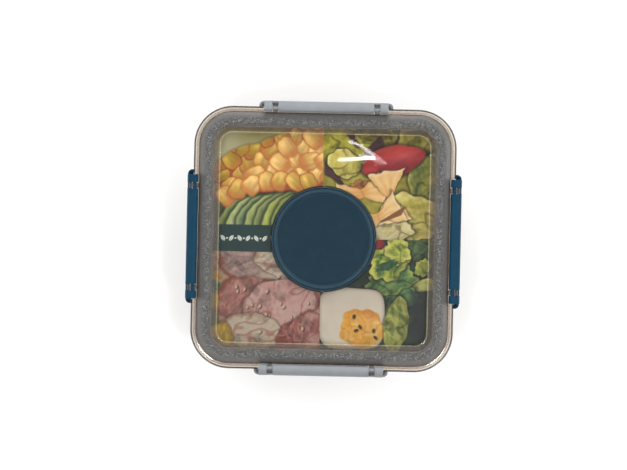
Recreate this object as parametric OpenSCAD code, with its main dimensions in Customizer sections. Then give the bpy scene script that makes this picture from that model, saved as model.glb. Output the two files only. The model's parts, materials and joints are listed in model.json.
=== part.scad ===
// Snap lid food container: a square bowl with a four-compartment tray, a sauce cup in the middle
// of the tray, a printed card, and a clear lid held down by four snap clips.
// Z is up and the origin is the middle of the underside. The box is square, so most sections are
// drawn once as (half-width of the box, height) and swept round the rounded square.

/* [Plan] */
// Width of the lid over its flange
lid_w = 176; // [170:1:186]
// Corner radius of the lid's flange
lid_corner_r = 26; // [24:1:28]

/* [Heights] */
// Height of the bowl's rim
rim_z = 64.3; // [60:0.1:80]
// Height of the clips' hinge axis above the rim
pin_rise = 3.1; // [3:0.1:3.2]
// Depth of the tray below the card
tray_depth = 24.5; // [20:0.5:28]

/* [Walls] */
// Wall of the bowl
bowl_wall = 2.3; // [1.8:0.1:2.6]
// Wall of the tray and of its compartments
tray_wall = 1.6; // [1.2:0.1:2]
// Wall of the lid's window
window_wall = 1.8; // [1.4:0.1:2]
// Thickness of the printed card
card_t = 0.5; // [0.3:0.1:0.6]

/* [Lid] */
// Width of the flange outside the raised border
flange_w = 4.3; // [4:0.1:4.6]
// Width of the raised border
border_w = 11.6; // [11.4:0.1:11.8]
// Rise of the border's crown above the window
border_rise = 2.2; // [1.8:0.1:2.6]

/* [Sauce cup] */
// Radius of the sauce cup's lid
sauce_r = 35; // [34:0.5:36]
// Gap between the sauce lid and the edge of the hole in the card
card_gap = 0.6; // [0.5:0.1:1.5]

/* [Clips] */
// Length of a clip's barrel
barrel_l = 83; // [82:1:86]
// Length of the barrel between its two slots
centre_l = 64; // [62:1:66]
// Width of each slot
slot_w = 4.1; // [4:0.1:4.6]
// Length of a clip's flap
flap_l = 90; // [88:1:94]
// Height of a clip's flap below its hinge axis
flap_drop = 23.4; // [21:0.2:26]
// Radius of a clip's pin
pin_r = 1.25; // [1.1:0.05:1.4]
// Running clearance of the pin in its J-hook, on the radius
pin_fit = 0.08; // [0.05:0.01:0.1]

/* [Hidden] */
$fn = 96;

eps = 0.01;
smoky = [0.46, 0.44, 0.42, 0.45];
clip_grey = [0.66, 0.68, 0.70];
clip_blue = [0.10, 0.30, 0.40];

// Every rounded square in the box shares the same four corner centres.
edge = lid_w / 2;
corner_c = edge - lid_corner_r;

// Lid, from the flange inwards
border_out = edge - flange_w;
border_in = border_out - border_w;
window_half = border_in - 0.6;
crown_z = rim_z + 5.9;
window_z = crown_z - border_rise;
border_edge_z = crown_z - 1.4;
channel_z = rim_z + 3.3;
channel_out = border_out - 1.8;
channel_in = border_in + 2.1;
lip_z = rim_z - 2.1;
flange_z = rim_z - 1.7;
flange_t = 2;

// Bowl
rim_in = edge - 10.4;
rim_out = rim_in + 2.4;
skirt_out = edge - 1.6;
skirt_in = skirt_out - 1.7;
skirt_top_z = rim_z - 2.1;
skirt_drop = 9.5;
skirt_z = skirt_top_z - skirt_drop;
catch_in = 0.9;
catch_rise = 2.9;
ledge_z = rim_z - 5.1;
cavity_top = rim_in - 3.1;
cavity_foot = cavity_top - 3.8;
foot_h = 1.2;
floor_z = foot_h + 2.4;

// Tray, resting on the bowl's ledge
tray_top = ledge_z + 1.7;
tray_rim_t = 1.6;
tray_floor = tray_top - tray_depth;
tray_out = cavity_foot + 1.6;
tray_rim_out = rim_in - 0.4;
wing_top = tray_top - 0.4;
well_r = sauce_r - 1.6;

// Card
card_z = tray_top + 0.1;
card_half_x = 77;
card_half_y = 76.2;

// Sauce cup, hung by its flange on the ring round the well
cup_r = well_r - 0.6;
cup_wall = 1.5;
cup_foot_r = cup_r - 3;
cup_z = tray_floor + tray_wall + 0.5;
cup_flange_z = wing_top + 0.1;
cup_flange_r = sauce_r - 0.7;
cup_rim_z = rim_z - 0.9;
sauce_top_z = window_z - window_wall - 0.6;
sauce_plate_t = 1.4;
sauce_skirt_z = cup_flange_z + 1.8;
step_r = sauce_r - 4.6;

// Clips: section points are (distance outwards from the hinge axis, height above it)
pin_x = edge - 1.1;
pin_z = rim_z + pin_rise;
barrel_r = 2.5;
flap_out = 5;
flap_t = 1.8;
flap_in = flap_out - flap_t;
shoulder_drop = 5.9;
slot_drop = 4.6;
slot_at = centre_l / 2 + slot_w / 2;
hook_w = slot_w - 0.6;
barb_l = 60;

// A quarter ellipse from angle a0 to a1 about (cx, cy)
function arc(cx, cy, rx, ry, a0, a1, n = 8) =
    [for (i = [0 : n]) let (a = a0 + (a1 - a0) * i / n) [cx + rx * cos(a), cy + ry * sin(a)]];

// Sweeps a section, drawn as (half-width, height), round the four sides and the four corners.
module swept() {
    for (turn = [0 : 90 : 270]) rotate([0, 0, turn]) {
        translate([corner_c, corner_c, 0]) rotate_extrude(angle = 90)
            translate([-corner_c, 0]) children();
        translate([0, corner_c, 0]) rotate([90, 0, 0]) linear_extrude(2 * corner_c) children();
    }
}

// A flat plate that fills a swept section's middle.
module middle(z, t) {
    side = 2 * corner_c + 2 * eps;
    translate([-side / 2, -side / 2, z]) cube([side, side, t]);
}

// A rounded square or rectangle in the plan view, with exact round corners.
module rounded(half_x, half_y, r) {
    square([2 * half_x, 2 * (half_y - r)], center = true);
    square([2 * (half_x - r), 2 * half_y], center = true);
    for (x = [-1, 1], y = [-1, 1]) translate([x * (half_x - r), y * (half_y - r)]) circle(r);
}

// ---- Bowl ----

module bowl_section() {
    polygon(concat(
        [[corner_c, floor_z]],
        arc(cavity_foot - 5, floor_z + 5, 5, 5, -90, 0),
        [[cavity_top, ledge_z - 0.6], [cavity_top, ledge_z], [rim_in, ledge_z]],
        arc(rim_in + 0.7, rim_z - 0.7, 0.7, 0.7, 180, 90, 4),
        arc(rim_out - 0.7, rim_z - 0.7, 0.7, 0.7, 90, 0, 4),
        [[rim_out, skirt_top_z]],
        arc(skirt_out - 1, skirt_top_z - 1, 1, 1, 90, 0, 4),
        [[skirt_out, skirt_z + catch_rise], [skirt_out - catch_in, skirt_z], [skirt_in, skirt_z],
         [skirt_in, skirt_top_z - 2], [rim_out, skirt_top_z - 2], [rim_out, ledge_z - 1.6],
         [cavity_top + bowl_wall, ledge_z - 4]],
        arc(cavity_foot + bowl_wall - 7, foot_h + 7, 7, 7, 0, -90),
        [[corner_c, foot_h]]));
    // foot ring
    translate([corner_c + 0.5, 0]) square([3, foot_h + eps]);
}

module bowl() {
    color(smoky) {
        swept() bowl_section();
        middle(foot_h, floor_z - foot_h);
    }
}

// ---- Tray ----

module tray_section() {
    polygon(concat(
        [[corner_c, tray_floor]],
        arc(tray_out - 4, tray_floor + 4, 4, 4, -90, 0),
        [[tray_out, tray_top - tray_rim_t], [tray_rim_out, tray_top - tray_rim_t],
         [tray_rim_out, tray_top], [tray_out - tray_wall, tray_top]],
        arc(tray_out - 4, tray_floor + 4, 4 - tray_wall, 4 - tray_wall, 0, -90),
        [[corner_c, tray_floor + tray_wall]]));
}

module tray() {
    wing_h = wing_top - tray_floor;
    reach = tray_out - tray_wall / 2;
    color("whitesmoke") difference() {
        union() {
            swept() tray_section();
            middle(tray_floor, tray_wall);
            for (turn = [0, 90]) rotate([0, 0, turn])
                translate([-reach, -1, tray_floor]) cube([2 * reach, 2, wing_h]);
            translate([0, 0, tray_floor]) cylinder(r = well_r + 1.8, h = wing_h);
        }
        translate([0, 0, tray_floor + tray_wall]) cylinder(r = well_r, h = wing_h);
    }
}

// ---- Sauce cup ----

module sauce_cup() {
    color(smoky) rotate_extrude() polygon([
        [0, cup_z], [cup_foot_r - 2, cup_z], [cup_foot_r, cup_z + 2], [cup_r, cup_flange_z],
        [cup_flange_r, cup_flange_z], [cup_flange_r, cup_flange_z + 1.6],
        [cup_r + 0.3, cup_flange_z + 1.6], [cup_r + 0.3, cup_rim_z], [cup_r - 1.2, cup_rim_z],
        [cup_r - 1.2, cup_flange_z], [cup_foot_r - cup_wall, cup_z + 3],
        [cup_foot_r - cup_wall - 1.5, cup_z + cup_wall], [0, cup_z + cup_wall]]);
}

module sauce_seal() {
    z = cup_rim_z + 0.05;
    color("gray") translate([0, 0, z]) difference() {
        cylinder(r = cup_r + 0.3, h = sauce_top_z - sauce_plate_t - z);
        translate([0, 0, -1]) cylinder(r = cup_r - 2.2, h = 5);
    }
}

module sauce_lid() {
    plate_z = sauce_top_z - sauce_plate_t;
    color(clip_blue) rotate_extrude() polygon(concat(
        [[0, plate_z], [cup_r + 0.6, plate_z], [cup_r + 0.6, sauce_skirt_z],
         [sauce_r, sauce_skirt_z]],
        arc(sauce_r - 1.2, sauce_top_z - 1.2, 1.2, 1.2, 0, 90, 5),
        [[step_r + 0.6, sauce_top_z], [step_r, sauce_top_z - 0.5], [0, sauce_top_z - 0.5]]));
}

// ---- Card ----

module insert_card() {
    color("khaki") translate([0, 0, card_z]) difference() {
        linear_extrude(card_t) rounded(card_half_x, card_half_y, card_half_y - corner_c + 1);
        translate([0, 0, -1]) cylinder(r = sauce_r + card_gap, h = card_t + 2);
    }
}

// ---- Lid ----

// Height of the border's crowned top at half-width h
function crown(h) = let (t = (h - (border_in + border_out) / 2) / (border_w / 2))
    crown_z - (crown_z - border_edge_z) * pow(abs(t), 2.5);

module lid_section() {
    polygon(concat(
        [[corner_c, window_z - window_wall], [border_in + 0.3, window_z - window_wall],
         [border_in + 0.3, lip_z], [channel_in, lip_z], [channel_in, channel_z],
         [channel_out, channel_z], [channel_out, flange_z]],
        arc(edge - 0.6, flange_z + 0.6, 0.6, 0.6, -90, 0, 3),
        arc(edge - 0.6, flange_z + flange_t - 0.6, 0.6, 0.6, 0, 90, 3),
        [[border_out, flange_z + flange_t]],
        [for (i = [12 : -1 : 0]) let (h = border_in + border_w * i / 12) [h, crown(h)]],
        [[window_half, window_z], [corner_c, window_z]]));
}

// J-hook that cradles a pin from below and is open at the top.
module j_hook() {
    rotate([90, 0, 0]) linear_extrude(hook_w, center = true) difference() {
        polygon(concat(
            [[border_out - pin_x - 0.6, 0.6], [border_out - pin_x - 0.6, -2.9]],
            arc(1.8, -1, 1.9, 1.9, -90, 0, 6),
            arc(3.1, 0.6, 0.6, 0.6, 0, 90, 3),
            [[0.9, 1.2], [0.9, 0.6]]));
        circle(pin_r + pin_fit);
        translate([-0.9, 0]) square([1.8, 3]);
    }
}

module lid() {
    color(smoky) {
        difference() {
            union() {
                swept() lid_section();
                middle(window_z - window_wall, window_wall);
            }
            // the flange is notched where each barrel turns
            for (turn = [0 : 90 : 270]) rotate([0, 0, turn])
                translate([border_out + 0.4, -barrel_l / 2 - 0.8, flange_z - 1])
                    cube([flange_w + 1, barrel_l + 1.6, flange_t + 2]);
        }
        for (turn = [0 : 90 : 270], side = [-1, 1]) rotate([0, 0, turn])
            translate([pin_x, side * slot_at, pin_z]) j_hook();
    }
}

module lid_seal() {
    z = rim_z + 0.1;
    color("gray") swept() polygon([
        [channel_in + 0.1, channel_z], [channel_in + 0.1, z + 0.8], [channel_in + 0.9, z],
        [channel_out - 1.3, z], [channel_out - 0.1, z + 1], [channel_out - 0.1, channel_z]]);
}

// ---- Clips ----

// Barrel and the top of the flap: round on the inside, a quarter ellipse over the outside.
module barrel_section() {
    polygon(concat(
        arc(0, -2, flap_out, barrel_r + 2, 0, 90, 10),
        arc(0, 0, barrel_r, barrel_r, 90, 270, 14),
        [[flap_in, -barrel_r], [flap_in, -shoulder_drop - 1], [flap_out, -shoulder_drop - 1]]));
}

// J-shaped catch on the inside of the flap, whose lip lies along the skirt's sloping edge.
module barb_section() {
    r = skirt_out - pin_x;
    z = skirt_z - pin_z;
    slope = catch_in / catch_rise;
    tip = r - catch_in + 0.15;
    polygon([[flap_in + eps, z - 3.6], [flap_in + eps, z - 1.2], [r + 1.9, z - 0.4],
             [r + 1.4, z + catch_rise - 0.4], [tip + slope * (catch_rise - 0.4), z + catch_rise - 0.4],
             [tip - slope * 0.8, z - 0.8], [tip - slope * 0.8, z - 1.4], [tip + 0.6, z - 2.2]]);
}

// The flap in plan: a long plate whose ends curl in towards the box.
module flap_plan() {
    depth = flap_out - 1.2;
    difference() {
        translate([flap_out - 8, 0]) rounded(8, flap_l / 2, 3);
        translate([flap_in - 8, 0]) rounded(8, flap_l / 2 - flap_t, 1.4);
        translate([flap_out - depth - 20, -flap_l]) square([20, 2 * flap_l]);
    }
}

// One clip about its hinge axis, which runs along Y.
module clip(colour) {
    flap_h = flap_drop - shoulder_drop;
    color(colour) {
        difference() {
            union() {
                rotate([90, 0, 0]) linear_extrude(barrel_l, center = true) barrel_section();
                intersection() {
                    translate([0, 0, -flap_drop]) linear_extrude(flap_h) flap_plan();
                    // the flap's lower corners are rounded
                    rotate([90, 0, 90]) linear_extrude(20, center = true)
                        translate([0, -shoulder_drop]) rounded(flap_l / 2, flap_h, 5);
                }
                rotate([90, 0, 0]) linear_extrude(barb_l, center = true) barb_section();
            }
            for (side = [-1, 1]) translate([-4, side * slot_at - slot_w / 2, -slot_drop])
                cube([12, slot_w, slot_drop + 4]);
        }
        for (side = [-1, 1]) translate([0, side * slot_at, 0]) rotate([90, 0, 0])
            cylinder(r = pin_r, h = slot_w + 1, center = true);
    }
}

module placed_clip(turn, colour) {
    rotate([0, 0, turn]) translate([pin_x, 0, pin_z]) clip(colour);
}

module clip_right() { placed_clip(0, clip_blue); }
module clip_back() { placed_clip(90, clip_grey); }
module clip_left() { placed_clip(180, clip_blue); }
module clip_front() { placed_clip(270, clip_grey); }

bowl();
tray();
sauce_cup();
sauce_seal();
sauce_lid();
insert_card();
lid_seal();
lid();
clip_back();
clip_front();
clip_left();
clip_right();
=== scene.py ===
import json
import math

import bmesh
import bpy
import numpy as np
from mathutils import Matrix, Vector


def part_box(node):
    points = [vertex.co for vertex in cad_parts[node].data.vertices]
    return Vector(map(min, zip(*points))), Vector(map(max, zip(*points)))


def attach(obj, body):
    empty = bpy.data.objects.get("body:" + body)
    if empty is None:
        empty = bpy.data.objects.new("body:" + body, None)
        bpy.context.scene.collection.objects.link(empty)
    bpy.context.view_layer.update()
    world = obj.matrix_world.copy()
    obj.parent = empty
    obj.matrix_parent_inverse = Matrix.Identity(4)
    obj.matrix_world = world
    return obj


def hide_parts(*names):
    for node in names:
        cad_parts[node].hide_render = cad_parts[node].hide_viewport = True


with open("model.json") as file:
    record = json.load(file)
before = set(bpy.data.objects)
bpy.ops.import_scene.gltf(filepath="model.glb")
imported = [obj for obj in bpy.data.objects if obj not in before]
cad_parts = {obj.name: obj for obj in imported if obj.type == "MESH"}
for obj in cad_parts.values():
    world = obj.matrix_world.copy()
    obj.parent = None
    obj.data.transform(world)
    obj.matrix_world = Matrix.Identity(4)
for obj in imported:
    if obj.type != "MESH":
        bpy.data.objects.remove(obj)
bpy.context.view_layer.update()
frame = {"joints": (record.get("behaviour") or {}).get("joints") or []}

# ---- Sizes in millimetres, read from the frame or named steps away from it ----

MM = 0.001


def box_mm(node):
    """Lowest and highest corner of a CAD node in millimetres."""
    lo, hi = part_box(node)
    return lo / MM, hi / MM


bowl_hi = box_mm("bowl")[1]
rim_z = bowl_hi.z
skirt_out = bowl_hi.x
edge = skirt_out + 1.6          # outside of the lid's flange, as a half-width
corner_c = edge - 26            # every rounded corner has its centre here
flange_w = 4.3
border_w = 11.6
border_out = edge - flange_w
border_in = border_out - border_w
border_mid = (border_in + border_out) / 2
crown_z = box_mm("lid")[1].z
window_z = crown_z - 2.2
window_under = window_z - 1.8
window_half = border_in - 0.6
channel_z = rim_z + 3.3
channel_in = border_in + 2.1
channel_out = border_out - 1.8
lip_z = rim_z - 2.1
flange_under = rim_z - 1.7
flange_top = flange_under + 2

rim_in = edge - 10.4
rim_out = rim_in + 2.4
skirt_in = skirt_out - 1.7
skirt_top = rim_z - 2.1
skirt_z = skirt_top - 9.5
ledge_z = rim_z - 5.1
cavity_top = rim_in - 3.1
cavity_foot = cavity_top - 3.8
bowl_wall = 2.3
foot_h = 1.2
floor_z = foot_h + 2.4

tray_lo, tray_hi = box_mm("tray")
card_lo, card_hi = box_mm("insert_card")
cup_lo, cup_hi = box_mm("sauce_cup")
sauce_lo, sauce_hi = box_mm("sauce_lid")
ring_lo, ring_hi = box_mm("sauce_seal")
gasket_lo, gasket_hi = box_mm("lid_seal")
sauce_r = sauce_hi.x
hole_r = sauce_r + 0.6
well_r = sauce_r - 1.6

hinge = next(j for j in frame["joints"] if j["name"] == "clip_right_hinge")
pin_x, pin_z = hinge["pos_m"][0] / MM, hinge["pos_m"][2] / MM
clip_lo, clip_hi = box_mm("clip_right")
slot_w = 4.1
slot_at = 32 + slot_w / 2       # middle of each slot, along the barrel
barrel_half = 41.5
notch_room = 0.2                # past each end of a barrel, where the flange is cut back
pin_r = 1.25
pin_gap = 0.08                  # between a pin and its hook
flap_half = clip_hi.y


# ---- Outlines ----

def arc(cx, cy, rx, ry, start, end, steps=8):
    """Points along part of an ellipse, between two angles in degrees."""
    turns = np.radians(np.linspace(start, end, steps + 1))
    return [(cx + rx * math.cos(t), cy + ry * math.sin(t)) for t in turns]


def softened(points, steps=4):
    """An open line of (x, y) or (x, y, reach) points; corners become short curves of their reach."""
    line = []
    for i, (x, y, *reach) in enumerate(points):
        if not reach or i in (0, len(points) - 1):
            line.append((x, y))
            continue
        reach = reach[0]
        here = Vector((x, y))
        back = Vector(points[i - 1][:2]) - here
        on = Vector(points[i + 1][:2]) - here
        start = here + back.normalized() * min(reach, back.length * 0.48)
        end = here + on.normalized() * min(reach, on.length * 0.48)
        for t in np.linspace(0, 1, steps + 1):
            line.append(tuple(start * (1 - t) ** 2 + here * 2 * t * (1 - t) + end * t * t))
    return line


def crown(h):
    """Height of the border's crowned top at half-width h."""
    return crown_z - 1.4 * abs((h - border_mid) / (border_w / 2)) ** 2.5


# ---- Meshes ----

class Shape:
    """Closed surfaces in millimetres, which become one Blender object."""

    def __init__(self):
        self.points = []
        self.faces = []
        self.slots = []

    def grid(self, rows, loop=False, closed=False, cap_rows=False, cap_lines=False, slots=None):
        """Faces between rows of points. loop joins the last row to the first, closed joins each
        row's ends, and the caps fill the first and last rows or lines."""
        rows = np.asarray(rows, float)
        count, width = rows.shape[:2]
        first = len(self.points)
        self.points.extend(rows.reshape(-1, 3).tolist())

        def at(i, j):
            return first + (i % count) * width + j % width

        for i in range(count if loop else count - 1):
            for j in range(width if closed else width - 1):
                self.faces.append([at(i, j), at(i + 1, j), at(i + 1, j + 1), at(i, j + 1)])
                self.slots.append(slots[j] if slots else 0)
        ends = []
        if cap_rows:
            ends += [[at(i, j) for j in range(width)] for i in (0, count - 1)]
        if cap_lines:
            ends += [[at(i, j) for i in range(count)] for j in (0, width - 1)]
        for k, face in enumerate(ends):
            self.faces.append(face)
            self.slots.append(slots[0 if k % 2 == 0 else -1] if slots else 0)

    def swept(self, line, marks=(), clamp=None, turn_steps=16, **kinds):
        """A section of (half-width, height) points, swept round the box's rounded square."""
        rows = []
        places = [(corner_c, y, 0.0) for y in sorted({-corner_c, corner_c, *marks})]
        places += [(corner_c, corner_c, 90 * k / turn_steps) for k in range(1, turn_steps)]
        for quarter in range(4):
            for x, y, lean in places:
                along = y if lean == 0 else corner_c
                a = math.radians(lean)
                row = []
                for h, z in line:
                    out = (clamp(h, along) if clamp else h) - corner_c
                    row.append((x + out * math.cos(a), y + out * math.sin(a), z))
                rows.append(turned(row, quarter))
        self.grid(rows, loop=True, **kinds)

    def lathe(self, line, steps=120, **kinds):
        """A section of (radius, height) points, turned about the Z axis."""
        turns = np.linspace(0, 2 * math.pi, steps, endpoint=False)
        rows = [[(r * math.cos(t), r * math.sin(t), z) for r, z in line] for t in turns]
        self.grid(rows, loop=True, **kinds)

    def bar(self, line, y0, y1):
        """A closed outline of (x, z) points, drawn along Y."""
        self.grid([[(x, y, z) for x, z in line] for y in (y0, y1)], closed=True, cap_rows=True)

    def add(self, other, quarter=0, shift=(0, 0, 0)):
        """Another shape, shifted and then turned by quarter turns."""
        first = len(self.points)
        moved = np.array(other.points) + np.array(shift)
        self.points.extend(turned(moved, quarter))
        self.faces.extend([[first + v for v in face] for face in other.faces])
        self.slots.extend(other.slots)


def turned(points, quarter):
    """Points turned about Z by a number of quarter turns."""
    c, s = ((1, 0), (0, 1), (-1, 0), (0, -1))[quarter % 4]
    return [(x * c - y * s, x * s + y * c, z) for x, y, z in points]


def linked(name, data):
    """A new object in the scene."""
    item = bpy.data.objects.new(name, data)
    bpy.context.scene.collection.objects.link(item)
    return item


def made(name, shape, materials, sharp=35, bevel=0.0):
    """A Blender object from a shape, with smooth faces and rounded edges."""
    mesh = bpy.data.meshes.new(name)
    mesh.from_pydata((np.array(shape.points) * MM).tolist(), [], shape.faces)
    mesh.polygons.foreach_set("material_index", shape.slots)
    work = bmesh.new()
    work.from_mesh(mesh)
    bmesh.ops.remove_doubles(work, verts=work.verts, dist=1e-7)
    bmesh.ops.recalc_face_normals(work, faces=work.faces)
    work.to_mesh(mesh)
    work.free()
    mesh.polygons.foreach_set("use_smooth", [True] * len(mesh.polygons))
    mesh.set_sharp_from_angle(angle=math.radians(sharp))
    for look in materials:
        mesh.materials.append(look)
    piece = linked(name, mesh)
    if bevel:
        round_edges = piece.modifiers.new("round_edges", "BEVEL")
        round_edges.width = bevel * MM
        round_edges.segments = 3
        round_edges.limit_method = "ANGLE"
        round_edges.angle_limit = math.radians(sharp)
        round_edges.harden_normals = True
    return piece


def place(piece, body, slot, *nodes):
    """Says what the piece rides on and which CAD nodes it stands for, which it hides; slot is not used."""
    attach(piece, body)
    if nodes:
        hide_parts(*nodes)


# ---- Materials ----

class Nodes:
    """The node tree of a material or a world, built with short calls."""

    def __init__(self, owner):
        owner.use_nodes = True
        self.owner, self.tree = owner, owner.node_tree
        self.tree.nodes.clear()

    def add(self, kind, inputs=None, **settings):
        node = self.tree.nodes.new("ShaderNode" + kind)
        for key, value in settings.items():
            setattr(node, key, value)
        for key, value in (inputs or {}).items():
            if isinstance(value, bpy.types.NodeSocket):
                self.tree.links.new(value, node.inputs[key])
            else:
                node.inputs[key].default_value = value
        return node

    def math(self, operation, a, b=0.0):
        return self.add("Math", {0: a, 1: b}, operation=operation).outputs[0]

    def times(self, a, b, plus=0.0):
        return self.add("Math", {0: a, 1: b, 2: plus}, operation="MULTIPLY_ADD").outputs[0]

    def vector(self, operation, inputs, result=0):
        return self.add("VectorMath", inputs, operation=operation).outputs[result]

    def mm(self):
        """Object coordinates in millimetres."""
        place_on = self.add("TexCoord").outputs["Object"]
        return self.vector("SCALE", {0: place_on, "Scale": 1 / MM})

    def across(self, where):
        """How far out a point of the lid lies, as a half-width of the rounded square."""
        past = self.vector("SUBTRACT", {0: self.vector("ABSOLUTE", {0: where}),
            1: (corner_c, corner_c, 1000)})
        past = self.vector("MAXIMUM", {0: past, 1: (0, 0, 0)})
        return self.math("ADD", self.vector("LENGTH", {0: past}, "Value"), corner_c)

    def noise(self, scale, detail=2.0, where=None, rough=0.5):
        """Noise from 0 to 1; scale is in features per millimetre."""
        inputs = {"Vector": where or self.mm(), "Scale": scale, "Detail": detail, "Roughness": rough}
        return self.add("TexNoise", inputs).outputs["Fac"]

    def ramp(self, fac, stops):
        """A colour ramp of (place, colour or grey) stops."""
        node = self.add("ValToRGB", {"Fac": fac})
        ends = node.color_ramp.elements
        while len(ends) < len(stops):
            ends.new(0.5)
        for end, (at, colour) in zip(ends, stops):
            end.position = at
            end.color = rgba(colour)
        return node.outputs["Color"]

    def mix(self, fac, a, b, blend="MIX"):
        node = self.add("MixRGB", {"Fac": fac, "Color1": a, "Color2": b}, blend_type=blend)
        return node.outputs["Color"]

    def bump(self, height, distance, strength=1.0):
        """A normal from a height field; distance is in millimetres."""
        inputs = {"Height": height, "Distance": distance * MM, "Strength": strength}
        return self.add("Bump", inputs).outputs["Normal"]

    def mirror(self, normal, slope, base):
        """The share of light that a clear face reflects, the same from both sides."""
        facing = self.add("LayerWeight", {"Blend": 0.5, "Normal": normal}).outputs["Facing"]
        return self.times(self.math("POWER", facing, 5.0), slope, base)

    def clear(self, tint, cloudy, cloud_colour, mirror, rough, normal):
        """Tinted plastic that light passes straight through, with a cloudy share, under a reflection."""
        through = self.add("BsdfTransparent", {"Color": rgba(tint)}).outputs[0]
        cloud = self.add("BsdfDiffuse", {"Color": cloud_colour, "Normal": normal}).outputs[0]
        sheen = self.add("BsdfGlossy", {"Color": rgba(1.0), "Roughness": rough,
            "Normal": normal}).outputs[0]
        body = self.add("MixShader", {0: cloudy, 1: through, 2: cloud}).outputs[0]
        return self.done(self.add("MixShader", {0: mirror, 1: body, 2: sheen}))

    def opaque(self, colour, rough, specular, **inputs):
        return self.done(self.add("BsdfPrincipled", {
            "Base Color": colour, "Roughness": rough, "Specular IOR Level": specular, **inputs}))

    def done(self, shader, output="OutputMaterial"):
        self.add(output, {"Surface": shader.outputs[0]})
        return self.owner


def material(name):
    return Nodes(bpy.data.materials.new(name))


def rgba(colour):
    """A grey or an (r, g, b) as four values."""
    if isinstance(colour, (int, float)):
        return (colour, colour, colour, 1)
    return (*colour, 1)


def see_through(name, tint, haze, haze_colour, gloss=0.03, grain=0.0, relief=0.02, shine=1.0):
    """Clear plastic; haze is the share of it that scatters, and grain is its relief."""
    n = material(name)
    specks = n.noise(1.15, 3, rough=0.7)
    normal = n.bump(n.times(specks, grain, n.times(n.noise(0.03), relief)), 1.0)
    dust = n.times(n.noise(0.35, 5, rough=0.6), haze * 0.8, haze * 0.6)
    wear = n.times(n.noise(0.12, 4), 0.05, gloss)
    return n.clear(tint, dust, rgba(haze_colour), n.mirror(normal, 0.9 * shine, 0.045 * shine), wear,
        normal)


def frosted():
    """The border: fine grain with painted sparkles in its middle, smoother along both sides, over the grey
    seal and the edge of the card, with painted shade beside the clips."""
    n = material("smoky_frosted")
    where = n.mm()
    share = n.math("DIVIDE", n.math("SUBTRACT", n.across(where), border_in), border_w)
    grit = n.noise(1.7, 2, where, 0.6)
    cells = n.add("TexVoronoi", {"Vector": where, "Scale": 1.6}).outputs["Color"]
    cell = n.add("SeparateXYZ", {0: cells}).outputs["X"]
    grain = n.ramp(share, [(0.0, 0.35), (0.22, 1.0), (0.60, 0.9), (0.74, 0.22), (1.0, 0.12)])
    fine = n.times(n.noise(3.4, 1, where), 0.12)
    normal = n.bump(n.times(n.times(grit, 0.30, fine), grain), 1.0, 0.9)
    # the specks scale the cloudy colour cell by cell: grain in the tone, with painted sparkles of light on
    # the brightest cells
    specks = n.times(n.math("POWER", cell, 6.0), 1.5, n.times(cell, 0.5, 0.53))
    specks = n.times(specks, n.times(grit, 1.0, 0.5))
    specks = n.times(n.math("SUBTRACT", specks, 1.0), grain, 1.0)
    tone = n.ramp(share, [(0.0, (0.13, 0.12, 0.095)), (0.25, (0.115, 0.115, 0.105)),
        (0.6, (0.095, 0.096, 0.096)), (0.8, (0.115, 0.11, 0.104)), (1.0, (0.075, 0.07, 0.066))])
    # painted shade: beside each clip's barrel the border's outer side is darkened and its reflection
    # dimmed, where the barrel keeps the light from the outer side
    sides = n.add("SeparateXYZ", {0: n.vector("ABSOLUTE", {0: where})}).outputs
    nearer = n.math("MINIMUM", sides["X"], sides["Y"])
    beside = n.ramp(n.times(nearer, -0.2, barrel_half * 0.2 + 0.4), [(0.0, 0.0), (0.7, 1.0)])
    shade = n.times(beside, n.ramp(share, [(0.50, 0.0), (0.80, 0.45), (1.0, 0.95)]))
    painted_light_tone = n.vector("SCALE", {0: n.mix(shade, tone, rgba(0.012)), "Scale": specks})
    cloudy = n.ramp(share, [(0.0, 0.22), (0.3, 0.56), (0.55, 0.86), (1.0, 0.94)])
    mirror = n.times(n.mirror(normal, 0.4, 0.028), n.math("SUBTRACT", 1.0, shade))
    return n.clear((0.80, 0.76, 0.70), cloudy, painted_light_tone, mirror, 0.18, normal)


def moulded(name, colour, rough=0.42, grain=0.012, specular=0.5):
    """Opaque moulded plastic: slight mottling, fine tool texture, scuffs, and edges lightened as a painted
    highlight.
    """
    n = material(name)
    where = n.mm()

    def tone(times, plus=0.0):
        return tuple(min(1.0, c * times + plus) for c in colour)

    mottled = n.ramp(n.noise(0.16, 4, where), [(0.3, tone(0.95)), (0.5, colour), (0.75, tone(1.05, 0.003))])
    specks = n.ramp(n.noise(1.9, 2, where), [(0.66, 0.0), (0.74, 1.0)])
    coloured = n.mix(n.times(specks, 0.10), mottled, rgba(tone(0.6)))
    # painted highlight: sharp convex edges are lightened, as if they caught the light
    painted_edge_highlight = n.ramp(n.add("NewGeometry").outputs["Pointiness"], [(0.53, 0.0), (0.60, 0.35)])
    coloured = n.mix(painted_edge_highlight, coloured, rgba(tone(1.35, 0.05)))
    scuffs = n.noise(0.5, 6, where, 0.7)
    height = n.times(n.noise(3.2, 2, where), 0.6, n.times(scuffs, 0.6))
    return n.opaque(coloured, n.times(scuffs, 0.18, rough - 0.09), specular, Normal=n.bump(height, grain))


def rubber():
    """Soft grey silicone with a little dust on it."""
    n = material("silicone")
    where = n.mm()
    dust = n.ramp(n.noise(0.7, 5, where, 0.7), [(0.45, 0.20), (0.7, (0.27, 0.27, 0.265))])
    return n.opaque(dust, 0.6, 0.35, Normal=n.bump(n.noise(2.2, 3, where), 0.02))


def printed():
    """The card: its print is painted on the mesh, and a fine screen and gloss lie over it."""
    n = material("printed_card")
    where = n.mm()
    ink = n.add("VertexColor", layer_name="print").outputs["Color"]
    screen = n.ramp(n.noise(3.5, 2, where), [(0.35, 0.0), (0.65, 0.10)])
    ink = n.mix(screen, ink, rgba(0.6), "SOFT_LIGHT")
    return n.opaque(ink, 0.42, 0.4, Normal=n.bump(n.noise(0.9, 3, where), 0.015))


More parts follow.
